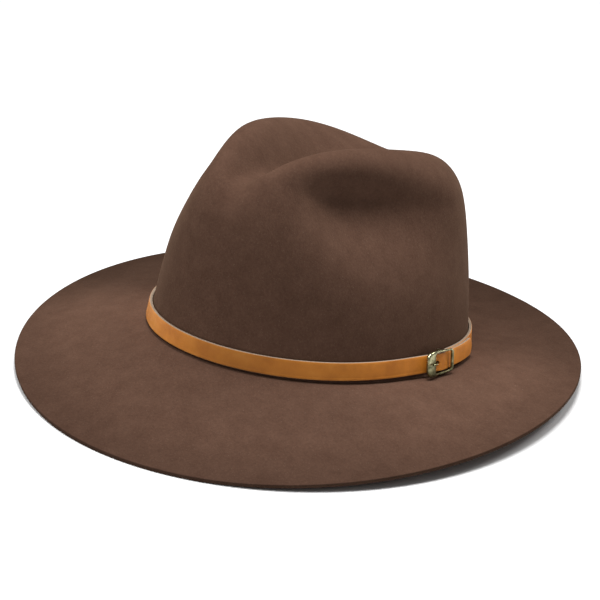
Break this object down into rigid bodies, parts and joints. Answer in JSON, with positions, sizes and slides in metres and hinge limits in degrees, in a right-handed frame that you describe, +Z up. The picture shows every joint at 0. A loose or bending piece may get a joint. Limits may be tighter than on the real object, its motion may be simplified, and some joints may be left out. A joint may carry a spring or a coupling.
{
  "type": "dress hat",
  "caption": "Felt dress hat with a centre-dented, pinched crown, a snap brim turned down in front, and a narrow leather strap with a small buckle.",
  "frame": {"origin": "On the surface that the hat lies on, below the middle of its bounding box", "axes": "+Z up from the surface, -Y towards the front of the hat, +X towards the wearer's left"},
  "size_m": [0.313, 0.3498, 0.1401],
  "materials": {
    "felt": "brown fur felt, matt with a short soft nap",
    "leather": "smooth tan leather with a raw pale cut edge",
    "brass": "antique brass, satin, darker in its hollows",
    "prong_brass": "antique brass wire, satin"
  },
  "bodies": {
    "root": {"felt_crown_and_brim": "felt", "leather_strap": "leather", "buckle_frame": "brass", "buckle_prong": "prong_brass"}
  },
  "joints": []
}
